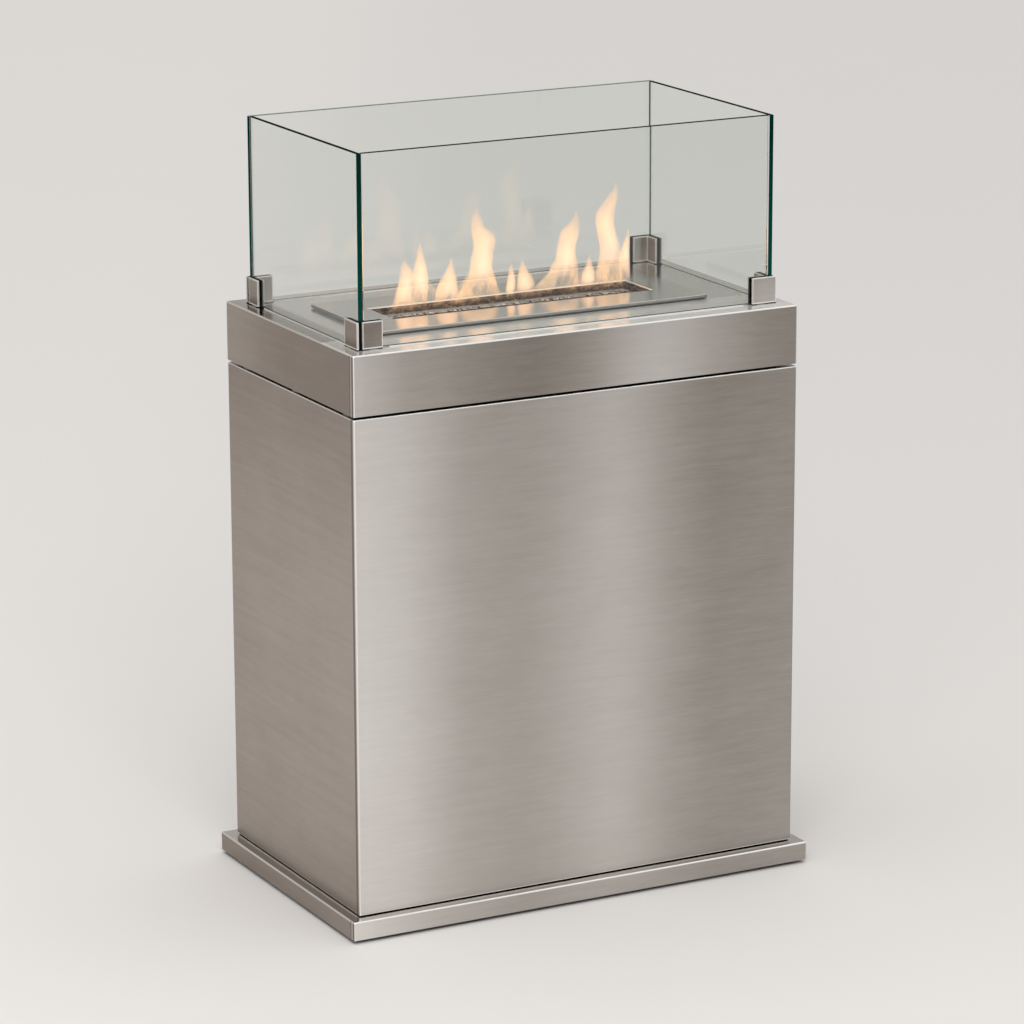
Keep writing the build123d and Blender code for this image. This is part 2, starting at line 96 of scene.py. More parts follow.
# ---------------------------------------------------------------- shader writing
class Value:
    """Output of a shader node. Arithmetic on values adds Math nodes."""

    def __init__(self, finish, socket):
        self.finish = finish
        self.socket = socket

    def math(self, operation, first, second):
        return self.finish.add("ShaderNodeMath", {"operation": operation}, {0: first, 1: second})

    def __add__(self, other):
        return self.math("ADD", self, other)

    __radd__ = __add__

    def __sub__(self, other):
        return self.math("SUBTRACT", self, other)

    def __rsub__(self, other):
        return self.math("SUBTRACT", other, self)

    def __mul__(self, other):
        return self.math("MULTIPLY", self, other)

    __rmul__ = __mul__

    def __truediv__(self, other):
        return self.math("DIVIDE", self, other)

    def __pow__(self, other):
        return self.math("POWER", self, other)

    def __abs__(self):
        return self.math("ABSOLUTE", self, 0.0)

    def __gt__(self, other):
        return self.math("GREATER_THAN", self, other)

    def larger(self, other):
        return self.math("MAXIMUM", self, other)

    def clamped(self):
        return self.finish.add("ShaderNodeClamp", None, {"Value": self})

    def rising(self, low, high):
        """0 up to low, 1 from high on, and smooth between."""
        return self.finish.add(
            "ShaderNodeMapRange", {"interpolation_type": "SMOOTHSTEP"},
            {"Value": self, "From Min": low, "From Max": high})


class Finish:
    """Node tree of a material or of the world."""

    def __init__(self, block):
        block.use_nodes = True
        self.block = block
        self.tree = block.node_tree
        self.tree.nodes.clear()

    def add(self, kind, settings=None, values=None, out=0):
        """Adds a node: first its settings, then the values or links of its sockets."""
        node = self.tree.nodes.new(kind)
        settings = dict(settings or {})
        stops = settings.pop("stops", None)
        spline = settings.pop("spline", None)
        for key, value in settings.items():
            setattr(node, key, value)
        if stops:
            ramp = node.color_ramp
            ramp.interpolation = spline or "LINEAR"
            while len(ramp.elements) < len(stops):
                ramp.elements.new(1.0)
            for element, (position, colour) in zip(ramp.elements, stops):
                element.position = position
                element.color = colour if len(colour) == 4 else (*colour, 1.0)
        for key, value in (values or {}).items():
            if isinstance(value, Value):
                self.tree.links.new(value.socket, node.inputs[key])
            else:
                node.inputs[key].default_value = value
        return Value(self, node.outputs[out])

    def place(self):
        """Point on the piece, in metres."""
        return self.add("ShaderNodeTexCoord", out="Object")

    def parts(self, vector):
        """The three numbers of a vector."""
        split = self.add("ShaderNodeSeparateXYZ", None, {0: vector})
        return [split, *(Value(self, split.socket.node.outputs[i]) for i in (1, 2))]

    def stretched(self, vector, factors):
        return self.add("ShaderNodeVectorMath", {"operation": "MULTIPLY"}, {0: vector, 1: factors})

    def noise(self, vector, factors=None, detail=2.0, roughness=0.5, distortion=0.0):
        """Soft noise. If there are factors, its vector is multiplied by them first."""
        if factors:
            vector = self.stretched(vector, factors)
        return self.add("ShaderNodeTexNoise", None, {
            "Vector": vector, "Scale": 1.0, "Detail": detail, "Roughness": roughness,
            "Distortion": distortion})

    def mix(self, factor, first, second, blend="MIX"):
        """Mixes two colours."""
        return self.add("ShaderNodeMix", {"data_type": "RGBA", "blend_type": blend},
                        {0: factor, 6: first, 7: second}, out=2)

    def blend(self, factor, first, second):
        """Mixes two numbers."""
        return self.add("ShaderNodeMix", {"data_type": "FLOAT"}, {0: factor, 2: first, 3: second})

    def mix_places(self, factor, first, second):
        return self.add("ShaderNodeMix", {"data_type": "VECTOR"}, {0: factor, 4: first, 5: second},
                        out=1)

    def shade(self, colour, factor):
        """A colour made lighter or darker by a number."""
        return self.add("ShaderNodeVectorMath", {"operation": "SCALE"},
                        {0: colour, "Scale": factor})

    def ramp(self, value, stops, spline="LINEAR"):
        return self.add("ShaderNodeValToRGB", {"stops": stops, "spline": spline}, {0: value})

    def bump(self, height, strength, distance):
        return self.add("ShaderNodeBump", None,
                        {"Height": height, "Strength": strength, "Distance": distance})

    def surface(self, **values):
        """Principled shader, its sockets named with _ for a space."""
        named = {key.replace("_", " "): value for key, value in values.items()}
        return self.add("ShaderNodeBsdfPrincipled", None, named)

    def mix_shaders(self, factor, first, second):
        return self.add("ShaderNodeMixShader", None, {0: factor, 1: first, 2: second})

    def finished(self, shader, kind="ShaderNodeOutputMaterial"):
        output = self.tree.nodes.new(kind)
        self.tree.links.new(shader.socket, output.inputs["Surface"])
        return self.block


def new_finish(name):
    """Empty material, and the point on its piece."""
    finish = Finish(bpy.data.materials.new(name))
    return finish, finish.place()


def rgba(colour):
    return (*colour, 1.0)


def grey(level):
    return (level, level, level, 1.0)


# ---------------------------------------------------------------- finishes
@dataclass
class Sheet:
    """Painted reflection bands and painted shade of a brushed sheet. Tones go from 0, dark, to 1,
    light.

    front holds pairs of x and painted tone, side pairs of y or z and painted tone, level pairs of
    x and painted tone. front_rise is the front's painted change of tone for each metre above
    rise_from, and side_lean the side's for each metre to the rear. The painted lines beside a fold
    hold pairs of distance behind the front edge and painted look of the side face there: 0 is a
    painted dark line, 1 a painted light one, and 0.5 is the bare sheet. front_edge is the y of the
    front face. level_front is how much lighter the top's front strip is painted, a painted
    highlight. dark_inside tells whether the folds on the right get painted shade next to the
    front face, or further round.
    """

    front: list
    side: list
    level: list
    side_axis: str = "Y"
    front_rise: float = 0.0
    side_lean: float = 0.0
    front_edge: float = 0.0
    seam: list = None
    rise_from: float = 0.3
    level_front: float = 0.0
    dark_inside: bool = False


# painted light and dark lines on a side face beside a rounded fold: distance behind the front edge,
# and 0 for painted shade, 1 for a painted highlight
PAINTED_FOLD_LINES = [(0.0, 0.15), (2.4 * MM, 0.1), (3.6 * MM, 0.15), (5.0 * MM, 0.95), (7.5 * MM, 0.95),
               (8.5 * MM, 0.1), (10.5 * MM, 0.1), (12.0 * MM, 0.5), (14.0 * MM, 0.5)]
PAINTED_SHADOW_LINES = [(0.0, 0.9), (2.6 * MM, 0.9), (3.4 * MM, 0.05), (8.0 * MM, 0.05), (9.5 * MM, 0.5),
               (14.0 * MM, 0.5)]
# the tones below paint reflection bands, highlights and shade onto each sheet
CABINET_SHEET = Sheet(
    front=[(-0.325, 0.78), (-0.304, 0.78), (-0.243, 0.65), (-0.183, 0.42), (-0.123, 0.33),
           (-0.062, 0.35), (-0.002, 0.46), (0.059, 0.53), (0.12, 0.365), (0.18, 0.205),
           (0.24, 0.18), (0.325, 0.21)],
    side=[(0.0, 0.13), (0.15, 0.19), (0.30, 0.20), (0.45, 0.22), (0.60, 0.14), (0.70, 0.06)],
    level=[(-0.325, 0.3), (0.325, 0.3)], side_axis="Z", front_rise=-0.19, side_lean=-0.18,
    front_edge=CABINET[0].y, seam=PAINTED_SHADOW_LINES, dark_inside=True)
HOUSING_SHEET = Sheet(
    front=[(-0.325, 0.56), (-0.309, 0.51), (-0.257, 0.32), (-0.184, 0.18), (-0.11, 0.05),
           (-0.037, 0.08), (0.037, 0.30), (0.11, 0.55), (0.184, 0.38), (0.257, 0.19),
           (0.325, 0.08)],
    side=[(-0.19, 0.0), (0.0, 0.0), (0.10, 0.08), (0.19, 0.17)],
    level=[(-0.325, 0.45), (-0.31, 0.52), (-0.27, 0.92), (0.0, 0.98), (0.24, 0.88),
           (0.325, 0.82)],
    front_edge=HOUSING[0].y, seam=PAINTED_FOLD_LINES, level_front=0.15)
PLINTH_SHEET = Sheet(
    front=[(-0.34, 0.92), (-0.31, 0.82), (-0.23, 0.58), (-0.12, 0.40), (0.0, 0.42), (0.08, 0.42),
           (0.18, 0.30), (0.34, 0.25)],
    side=[(-0.21, 0.16), (-0.10, 0.09), (0.10, 0.03), (0.21, 0.0)],
    level=[(-0.34, 0.75), (0.34, 0.6)],
    front_edge=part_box("plinth_shell")[0].y, seam=PAINTED_FOLD_LINES)
PLATE_SHEET = Sheet(
    front=[(-0.245, 0.34), (0.245, 0.30)], side=[(-0.1, 0.0), (0.1, 0.0)],
    level=[(-0.245, 0.74), (0.0, 0.66), (0.20, 0.62), (0.245, 0.74)])
CLIP_SHEET = Sheet(
    front=[(-0.31, 0.16), (-0.28, 0.16), (0.28, 0.50), (0.31, 0.50)],
    side=[(0.772, 0.0), (0.79, 0.06), (0.81, 0.06)],
    level=[(-0.31, 1.0), (0.31, 1.0)], side_axis="Z", front_rise=-5.0, rise_from=0.773)


def tone_ramp(finish, along, pairs, spline="CARDINAL"):
    """Tone that changes slowly along a direction."""
    low, high = pairs[0][0], pairs[-1][0]
    width = high - low
    stops = [((at - low) / width, grey(tone)) for at, tone in pairs]
    return finish.ramp((along - low) * (1 / width), stops, spline)


def edge_mask(finish, radius):
    """1 on the edges and 0 from a radius away from them."""
    rounded = finish.add("ShaderNodeBevel", {"samples": 6}, {"Radius": radius})
    flat = finish.add("ShaderNodeNewGeometry", out="Normal")
    same = finish.add("ShaderNodeVectorMath", {"operation": "DOT_PRODUCT"},
                      {0: rounded, 1: flat}, out="Value")
    return (1.0 - same).rising(0.008, 0.028)


def folded_edges(finish, across, sides, fronts, levels, dark_inside):
    """1 on the rounded folds, their painted highlight tone, and 1 where they get painted shade."""
    flat = sides.larger(fronts).larger(levels)
    fold = 1.0 - flat.rising(0.96, 0.995)
    upright = 1.0 - levels.rising(0.10, 0.25)
    upright_fold = finish.ramp(fronts, [
        (0.15, grey(0.30)), (0.50, grey(0.45)), (0.62, grey(1.0)), (1.0, grey(1.0))])
    near_front = fronts.rising(0.84, 0.88)
    part = near_front if dark_inside else 1.0 - near_front
    dark = fold * upright * (across > 0.0) * part
    return fold, finish.blend(upright, 1.0, upright_fold), dark


def brushed_steel(name, steel, sheet, bright_edges=None, edge_width=None, shadow_below=None,
                  bright_below=None):
    """Satin stainless steel with hairlines along X, or along Y on faces to the sides, and painted
    reflection bands, painted highlights and painted shade.

    bright_edges holds ranges of y in which edges get a painted highlight, and goes with
    shadow_below. Without it, the folds get a painted highlight. Faces get painted shade up to
    the height shadow_below, and upright ones a painted highlight from there to bright_below.
    """
    finish, place = new_finish(name)
    across, deep, height = finish.parts(place)
    signed = finish.parts(finish.add("ShaderNodeTexCoord", out="Normal"))
    to_side, to_front, up = [abs(part) for part in signed]
    sideways, frontal, level = [part > FACING for part in (to_side, to_front, up)]
    along = 1 / steel.hairline_length
    over = 1 / steel.hairline_width
    lines = finish.mix_places(
        level, finish.stretched(place, (along, along, over)),
        finish.stretched(place, (along, over, along)))
    hair = finish.noise(lines, roughness=0.65)
    streaks = finish.noise(lines, (0.25, 0.14, 0.14), 2.0, 0.5)
    clouds = finish.noise(place, (9.0, 9.0, 14.0), 3.0, 0.55)
    # painted reflection bands on the front, sides and top, and painted gradients
    front_tone = (tone_ramp(finish, across, sheet.front)
                  + (height - sheet.rise_from) * sheet.front_rise)
    side_place = deep if sheet.side_axis == "Y" else height
    side_tone = tone_ramp(finish, side_place, sheet.side) + deep * sheet.side_lean
    level_tone = tone_ramp(finish, across, sheet.level)
    level_metal = 1.0
    # the top's front strip is painted lighter and less metallic, a painted highlight
    if sheet.level_front:
        ahead = 1.0 - deep.rising(PLATE[0].y - 4 * MM, PLATE[0].y)
        level_tone = level_tone + ahead * sheet.level_front
        level_metal = 1.0 - ahead * steel.painted_top_sheen
    tone = front_tone * frontal + side_tone * sideways + level_tone * level
    tone = (tone + (hair - 0.5) * steel.hairline_contrast
            + (streaks - 0.5) * steel.hairline_contrast * 0.8 + (clouds - 0.5) * 0.12)
    # painted highlight on edges and at the foot, made pale and less metallic, and painted shade below
    # shadow_below
    if bright_edges:
        within = [(deep > low) * (1.0 - (deep > high)) for low, high in bright_edges]
        edge = edge_mask(finish, edge_width or steel.edge_width) * sum(within[1:], within[0])
        if bright_below:
            foot = 1.0 - height.rising(bright_below - 0.4 * MM, bright_below)
            edge = edge.larger(foot * (1.0 - level))
        tone = finish.blend(edge, tone, 1.0)
        dark = 1.0 - height.rising(shadow_below, shadow_below + 0.4 * MM)
        metallic = 1.0 - dark.larger(edge * 0.85)
        level_metal = 1.0 - edge * 0.7
    else:
        # the folds get a painted highlight, and on one side painted shade
        fold, fold_tone, dark = folded_edges(finish, across, to_side, to_front, up,
                                             sheet.dark_inside)
        tone = finish.blend(fold, tone, fold_tone)
        # painted highlight and painted shade in lines beside the fold on the side faces
        if sheet.seam:
            seam = tone_ramp(finish, deep - sheet.front_edge, sheet.seam, "LINEAR")
            tone = tone + seam.rising(0.5, 1.0) * sideways * 0.35
            dark = dark.larger((1.0 - seam.rising(0.0, 0.5)) * sideways)
        metallic = 1.0 - dark
    colour = finish.mix(tone.clamped(), rgba(steel.dark), rgba(steel.light))
    # painted warmer cast of the side faces, from how light falls
    colour = finish.mix(sideways, colour, rgba(steel.side_cast), "MULTIPLY")
    # painted shade beside folds, under the plate and under the clips
    colour = finish.mix(dark * 0.85, colour, rgba(steel.seam))
    # faces underneath are painted near black, a painted shade in the gaps under them
    underside = 1.0 - signed[2].rising(-0.97, -0.9)
    colour = finish.mix(underside, colour, rgba(steel.underside))
    rough = steel.roughness + (hair - 0.5) * 0.08 + (clouds - 0.5) * 0.04
    ridges = hair * 0.6 + streaks * 0.4
    upright_shader = finish.surface(
        Base_Color=colour, Metallic=metallic, Roughness=rough, Anisotropic=steel.stretch,
        Anisotropic_Rotation=0.25, Normal=finish.bump(ridges, 1.0, steel.hairline_depth))
    level_shader = finish.surface(
        Base_Color=colour, Metallic=level_metal, Roughness=rough * steel.level_roughness,
        Normal=finish.bump(ridges, 1.0, steel.level_depth))
    return finish.finished(finish.mix_shaders(level, upright_shader, level_shader))


def heat_tints(finish, burner, place):
    """Straw, bronze and brown temper colours in soft blotches, and fine lines."""
    blotches = finish.noise(place, (110.0, 110.0, 200.0), 4.0, 0.65)
    specks = finish.noise(place, (420.0, 420.0, 420.0), 2.0, 0.6)
    lines = finish.noise(place, (60.0, 60.0, 1400.0), 2.0, 0.6)
    tint = finish.ramp(
        (blotches - 0.5) * 1.7 + 0.5 + (specks - 0.5) * 0.9 + (lines - 0.5) * 0.3, [
            (0.30, rgba(burner.soot_and_shade)), (0.46, rgba(burner.brown)), (0.60, rgba(burner.bronze)),
            (0.80, rgba(burner.straw))])
    return tint, blotches, lines


def heat_tinted_steel(name, burner, bright_above=None, shade_before=None):
    """Steel next to the flame. Its rim can get a painted highlight, and its front painted shade."""
    finish, place = new_finish(name)
    _, deep, height = finish.parts(place)
    colour, blotches, lines = heat_tints(finish, burner, place)
    rough = 0.36 + blotches * 0.2
    relief = lines * 0.03
    # the rim is painted near white, a painted highlight
    if bright_above:
        chamfer = ((height - bright_above) * (1 / RIM)).clamped()
        rim = chamfer.rising(0.0, 0.2)
        colour = finish.mix(rim, colour, rgba(burner.rim))
        relief = relief - chamfer
    metallic = 0.85
    # the deck in front of the wool is painted black, a painted shade in the gap
    if shade_before:
        soot_and_shade = 1.0 - deep.rising(shade_before, shade_before + 1.5 * MM)
        colour = finish.mix(soot_and_shade * 0.9, colour, rgba(burner.soot_and_shade))
        metallic = 0.85 - soot_and_shade * 0.8
    return finish.finished(finish.surface(
        Base_Color=colour, Metallic=metallic, Roughness=rough,
        Normal=finish.bump(relief, 1.0, RIM)))


def zinc_steel(name):
    """Plain sheet and fasteners inside, with faint zinc spangle."""
    finish, place = new_finish(name)
    cells = finish.add("ShaderNodeTexVoronoi", None, {"Vector": place, "Scale": 220.0},
                       out="Color")
    spangle, _, _ = finish.parts(cells)
    grain = finish.noise(place, (900.0, 900.0, 900.0), 2.0)
    colour = finish.mix(spangle, grey(0.46), grey(0.58))
    return finish.finished(finish.surface(
        Base_Color=colour, Metallic=1.0, Roughness=0.36 + grain * 0.12,
        Normal=finish.bump(grain, 1.0, 0.00002)))


def rubber(name, level=0.022):
    """Black moulded rubber with a fine pebbled skin and a little dust."""
    finish, place = new_finish(name)
    pebbles = finish.add("ShaderNodeTexVoronoi", None, {"Vector": place, "Scale": 1500.0},
                         out="Distance")
    dust = finish.noise(place, (60.0, 60.0, 60.0), 3.0)
    colour = finish.mix(dust.rising(0.55, 0.8) * 0.4, grey(level), grey(level * 3))
    return finish.finished(finish.surface(
        Base_Color=colour, Roughness=0.7 + dust * 0.2, Specular_IOR_Level=0.04,
        Normal=finish.bump(pebbles, 0.6, 0.00006)))


def bedding(name, glass):
    """Pale silicone bead, slightly cloudy."""
    finish, place = new_finish(name)
    cloud = finish.noise(place, (40.0, 40.0, 40.0), 2.0)
    colour = finish.mix(cloud, rgba(glass.bead), rgba([part * 0.9 for part in glass.bead]))
    return finish.finished(finish.surface(
        Base_Color=colour, Metallic=0.2, Roughness=0.3 + cloud * 0.15))


def pane_glass(name, glass, thin_axis, joined_ends=(), shaded_ends=(), top=None):
    """Clear float glass with polished dark green ends.

    An end that meets a pane is clear, and one in a corner's shade is grey. The broad panes' left
    ends get a painted reflection, and the feet are pale mirror metal, a painted highlight.
    """
    finish, place = new_finish(name)
    signed = finish.parts(finish.add("ShaderNodeTexCoord", out="Normal"))
    across, _, height = finish.parts(place)
    tint = rgba(glass.tint)
    # the broad panes' left ends get a paler tint, a painted reflection
    if thin_axis == 1:
        painted_left_sheen = 1.0 - across.rising(-0.30, -0.12)
        tint = finish.mix(painted_left_sheen * 0.7, tint, rgba(glass.tint_left))
    face = finish.surface(Base_Color=tint, Roughness=0.0, Transmission_Weight=1.0,
                          IOR=1.5, Specular_IOR_Level=glass.gloss)
    depth = finish.noise(place, (35.0, 35.0, 35.0), 2.0)
    rise = (height - CLIP_TOP) * (1 / (CAD_BOX[1].z - CLIP_TOP)) + (depth - 0.5) * 0.5
    green = finish.mix(rise.clamped(), rgba(glass.end_green), rgba(glass.end_dark))
    for axis, way in shaded_ends:
        green = finish.mix((signed[axis] * way).rising(0.3, 0.4), green, rgba(glass.end_shaded))
    # top end colour; the rear pane's paler one is a painted highlight
    green = finish.mix(signed[2].rising(0.5, 0.7), green, rgba(top or glass.end_top))
    end = finish.surface(Base_Color=green, Roughness=0.25, Specular_IOR_Level=0.0)
    clear = abs(signed[thin_axis]).rising(0.85, 0.9)
    for axis, way in joined_ends:
        clear = clear.larger((signed[axis] * way).rising(0.5, 0.6))
    # the pane's foot is pale mirror metal, a painted highlight that makes the line under it light
    foot = finish.surface(Base_Color=rgba(glass.foot), Metallic=1.0, Roughness=0.25)
    standing = 1.0 - signed[2].rising(-0.6, -0.5)
    rim = finish.mix_shaders(standing, end, foot)
    return finish.finished(finish.mix_shaders(clear, rim, face))


def wool_finish(name, wool):
    """Mineral fibre: matted and grey behind, white and tufted with burnt specks, painted shade in
    front.
    """
    finish, place = new_finish(name)
    _, deep, _ = finish.parts(place)
    tufts = finish.noise(place, (420.0, 160.0, 420.0), 4.0, 0.7)
    hue = finish.noise(place, (130.0, 130.0, 130.0), 2.0)
    specks = finish.noise(place, (520.0, 80.0, 300.0), 2.0, 0.6)
    pale = finish.mix(hue.rising(0.45, 0.62), rgba(wool.white), rgba(wool.mauve))
    body = finish.mix(tufts.rising(0.54, 0.66), pale, rgba(wool.grey))
    matted = deep.rising(WOOL[0].y + 16 * MM, WOOL[0].y + 18 * MM)
    body = finish.mix(matted * 0.8, body, rgba(wool.matted))
    colour = finish.mix(specks.rising(0.50, 0.55) * (1.0 - matted), body, rgba(wool.speck))
    # the wool's front edge is painted dark, a painted shade
    painted_front_shade = 1.0 - (deep + (tufts - 0.5) * 4 * MM).rising(
        WOOL[0].y + 6 * MM, WOOL[0].y + 8 * MM)
    colour = finish.mix(painted_front_shade * 0.95, colour, rgba(wool.speck))
    return finish.finished(finish.surface(
        Base_Color=colour, Roughness=0.95, Specular_IOR_Level=0.2,
        Normal=finish.bump(tufts, 0.8, 0.0006)))


def flame_finish(name, flame):
    """See-through fire, hollow and streaked at its foot, and pale where it is hottest.

    The shells carry a point's way out from the flame's middle, its way up, and how high the
    flame is hollow, in the attribute shape, the flame's thickness in the attribute body, and
    where its streaks are drawn from in the attribute streak. The streaks fan out with it.
    """
    finish, place = new_finish(name)
    shape = finish.add("ShaderNodeAttribute", {"attribute_name": "shape"}, out="Vector")
    thick = finish.add("ShaderNodeAttribute", {"attribute_name": "body"}, out="Fac")
    streak = finish.add("ShaderNodeAttribute", {"attribute_name": "streak"}, out="Vector")
    out, up, hollow = finish.parts(shape)
    out = abs(out)
    _, _, height = finish.parts(place)
    licks = finish.noise(streak, (2.2, 1.3, 1.0), 3.0, 0.6, 0.5)
    threads = finish.noise(streak, (6.5, 1.8, 1.0), 2.0, 0.5, 0.3)
    leg = out.rising(0.45, 0.85)
    filled = ((up - hollow * 0.55) / (hollow * 0.75)).clamped() ** 1.4
    wall = 0.04 + 0.75 * leg + 0.55 * threads.rising(0.50, 0.66)
    body = finish.blend(filled, wall, 1.0)
    foot = (height - WOOL[1].z).rising(3 * MM, flame.foot) ** 1.4
    tip = 1.0 - 0.78 * up.rising(0.45, 1.0)
    streaks = (0.45 + 0.9 * licks.rising(0.32, 0.62)) * (0.65 + 0.7 * threads.rising(0.3, 0.7))
    heat = (0.1 + 0.9 * up.rising(0.10, 0.40)) * (1.0 - 0.75 * out)
    heat = heat * (1.0 - 0.8 * up.rising(0.45, 0.95))
    colour = finish.mix(heat.clamped(), rgba(flame.rim), rgba(flame.core))
    alpha = thick * flame.layer_cover * body * foot * tip * streaks
    shader = finish.surface(
        Base_Color=(0.0, 0.0, 0.0, 1.0), Roughness=1.0, Specular_IOR_Level=0.0,
        Emission_Color=colour, Emission_Strength=1.0, Alpha=alpha.clamped())
    made = finish.finished(shader)
    made.cycles.emission_sampling = "NONE"
    return made


# ---------------------------------------------------------------- mesh helpers
def link(piece):
    """Puts an object into the scene."""
    bpy.context.scene.collection.objects.link(piece)
    return piece


def mesh_from(name, build, material=None):
    """New piece from a function that fills a bmesh."""
    bm = bmesh.new()
    build(bm)
    bmesh.ops.recalc_face_normals(bm, faces=bm.faces)
    mesh = bpy.data.meshes.new(name)
    bm.to_mesh(mesh)
    bm.free()
    if material:
        mesh.materials.append(material)
    return link(bpy.data.objects.new(name, mesh))


def paint(material, *names):
    """Gives CAD nodes a material."""
    for name in names:
        slots = NODES[name].material_slots
        if not slots:
            NODES[name].data.materials.append(material)
        for held in slots:
            held.material = material


def plain_mesh(piece):
    """Turns a piece's evaluated shape into its mesh and takes its modifiers off."""
    bpy.context.view_layer.update()
    evaluated = piece.evaluated_get(bpy.context.evaluated_depsgraph_get())
    mesh = bpy.data.meshes.new_from_object(evaluated)
    mesh.name = piece.name
    piece.modifiers.clear()
    piece.data = mesh
    return piece


# ---------------------------------------------------------------- geometry nodes
class Recipe:
    """Geometry Nodes tree with named inputs, written as a chain of nodes."""

    def __init__(self, name, inputs):
        self.tree = bpy.data.node_groups.new(name, "GeometryNodeTree")
        face = self.tree.interface
        face.new_socket("Geometry", in_out="INPUT", socket_type="NodeSocketGeometry")
        for label, kind, _ in inputs:
            face.new_socket(label, in_out="INPUT", socket_type=kind)
        face.new_socket("Geometry", in_out="OUTPUT", socket_type="NodeSocketGeometry")
        self.inputs = inputs
        self.source = self.tree.nodes.new("NodeGroupInput")
        self.result = self.tree.nodes.new("NodeGroupOutput")

    def given(self, label):
        return self.source.outputs[label]

    def add(self, kind, settings=None, values=None, out=0):
        node = self.tree.nodes.new(kind)
        for key, value in (settings or {}).items():
            setattr(node, key, value)
        for key, value in (values or {}).items():
            if isinstance(value, bpy.types.NodeSocket):
                self.tree.links.new(value, node.inputs[key])
            else:
                node.inputs[key].default_value = value
        return node.outputs[out]

    def finish(self, geometry, material):
        """Ends the tree in real geometry with its material."""
        real = self.add("GeometryNodeRealizeInstances", None, {0: geometry})
        painted = self.add("GeometryNodeSetMaterial", None, {0: real, "Material": material})
        self.tree.links.new(painted, self.result.inputs[0])

    def apply(self, piece):
        """Runs the tree on a piece and keeps the result as a plain mesh."""
        modifier = piece.modifiers.new(self.tree.name, "NODES")
        modifier.node_group = self.tree
        sockets = {s.name: s.identifier for s in self.tree.interface.items_tree
                   if s.in_out == "INPUT"}
        for label, _, value in self.inputs:
            modifier[sockets[label]] = value
        return plain_mesh(piece)


# ---------------------------------------------------------------- settings
def length(name, description, default):
    return FloatProperty(name=name, description=description, default=default, unit="LENGTH",
                         min=0.0, precision=5)


def share(name, description, default):
    return FloatProperty(name=name, description=description, default=default, min=0.0, max=1.0,
                         subtype="FACTOR")


def colour(name, description, default):
    return FloatVectorProperty(name=name, description=description, default=default, size=3,
                               subtype="COLOR", min=0.0, max=4.0)


def bearing(name, description, degrees):
    return FloatProperty(name=name, description=description, default=math.radians(degrees),
                         subtype="ANGLE")


class SteelSettings(PropertyGroup):
    """Brushed sheet of plinth, cabinet, housing, plate and clips."""

    dark: colour("Dark", "Sheet where it looks darkest", (0.25, 0.2225, 0.1975))
    light: colour("Light", "Sheet where it looks lightest", (0.86, 0.84, 0.81))
    # painted warmer cast of the side faces, from how light falls
    side_cast: colour("Side cast", "Warmer cast of the faces to the sides", (1.0, 0.933, 0.891))
    # colour of the painted shade beside folds, under the plate and under the clips
    seam: colour("Seam", "Dark lines beside folds and under the plate", (0.05, 0.042, 0.037))
    # faces underneath are painted near black, a painted shade in the gaps under the plinth and plate
    underside: colour("Underside", "Primed faces underneath", (0.02, 0.02, 0.02))
    roughness: share("Roughness", "Roughness of the brushed sheet", 0.30)
    level_roughness: share("Level faces", "Share of the roughness on faces that lie level", 0.35)
    # how far the top's front strip is painted pale and matt, a painted highlight
    painted_top_sheen: share("Worn top", "How far the top's front strip is worn matt and pale", 0.55)
    stretch: share("Stretch", "How far highlights stretch across the hairlines", 0.7)
    hairline_length: length("Hairline length", "Length of one hairline", 0.025)
    hairline_width: length("Hairline width", "Distance from hairline to hairline", 0.0011)
    hairline_depth: length("Hairline depth", "Depth of the hairlines", 0.00003)
    level_depth: length("Level depth", "Depth of the hairlines on faces that lie level", 0.00018)
    hairline_contrast: share("Hairline contrast", "Change of tone between hairlines", 0.14)
    # width of the painted highlight on edges
    edge_width: length("Edge width", "Width of a broken edge", 0.0028)


class GlassSettings(PropertyGroup):
    """Panes of the wind guard."""

    tint: colour("Tint", "Colour of the panes seen through", (0.893, 0.915, 0.894))
    # paler tint of the broad panes' left ends, a painted reflection
    tint_left: colour("Tint, left", "Colour of the broad panes' left ends", (0.97, 0.97, 0.96))
    gloss: share("Gloss", "Specular level of the panes", 0.13)
    end_dark: colour("End, dark", "Green of the upright ends near the top", (0.0, 0.020, 0.015))
    end_green: colour("End, green", "Green of the upright ends low down", (0.002, 0.056, 0.042))
    end_shaded: colour("Shaded end", "End in a corner's shade", (0.11, 0.105, 0.095))
    end_top: colour("Top end", "Green-black of the top ends", (0.010, 0.022, 0.016))
    # the rear pane's top end is painted paler, a painted highlight
    rear_top: colour("Rear top end", "Paler top end of the rear pane", (0.20, 0.24, 0.22))
    bead: colour("Bead", "Silicone bead under the panes", (0.94, 0.93, 0.90))
    # the pane's foot is pale mirror metal, a painted highlight under the pane
    foot: colour("Foot", "Ground foot of a pane", (0.80, 0.80, 0.78))


class BurnerSettings(PropertyGroup):
    """Steel round the flame."""

    # darkest heat-tint blotches, and the painted shade on the deck in front of the wool
    soot_and_shade: colour("Soot", "Darkest blotches", (0.018, 0.011, 0.008))
    brown: colour("Brown", "Brown temper colour", (0.13, 0.065, 0.028))
    bronze: colour("Bronze", "Bronze temper colour", (0.27, 0.145, 0.065))
    straw: colour("Straw", "Straw temper colour", (0.46, 0.31, 0.17))
    # the throat's rim colour is a painted highlight
    rim: colour("Rim", "Bare rim of the throat", (1.0, 0.97, 0.93))


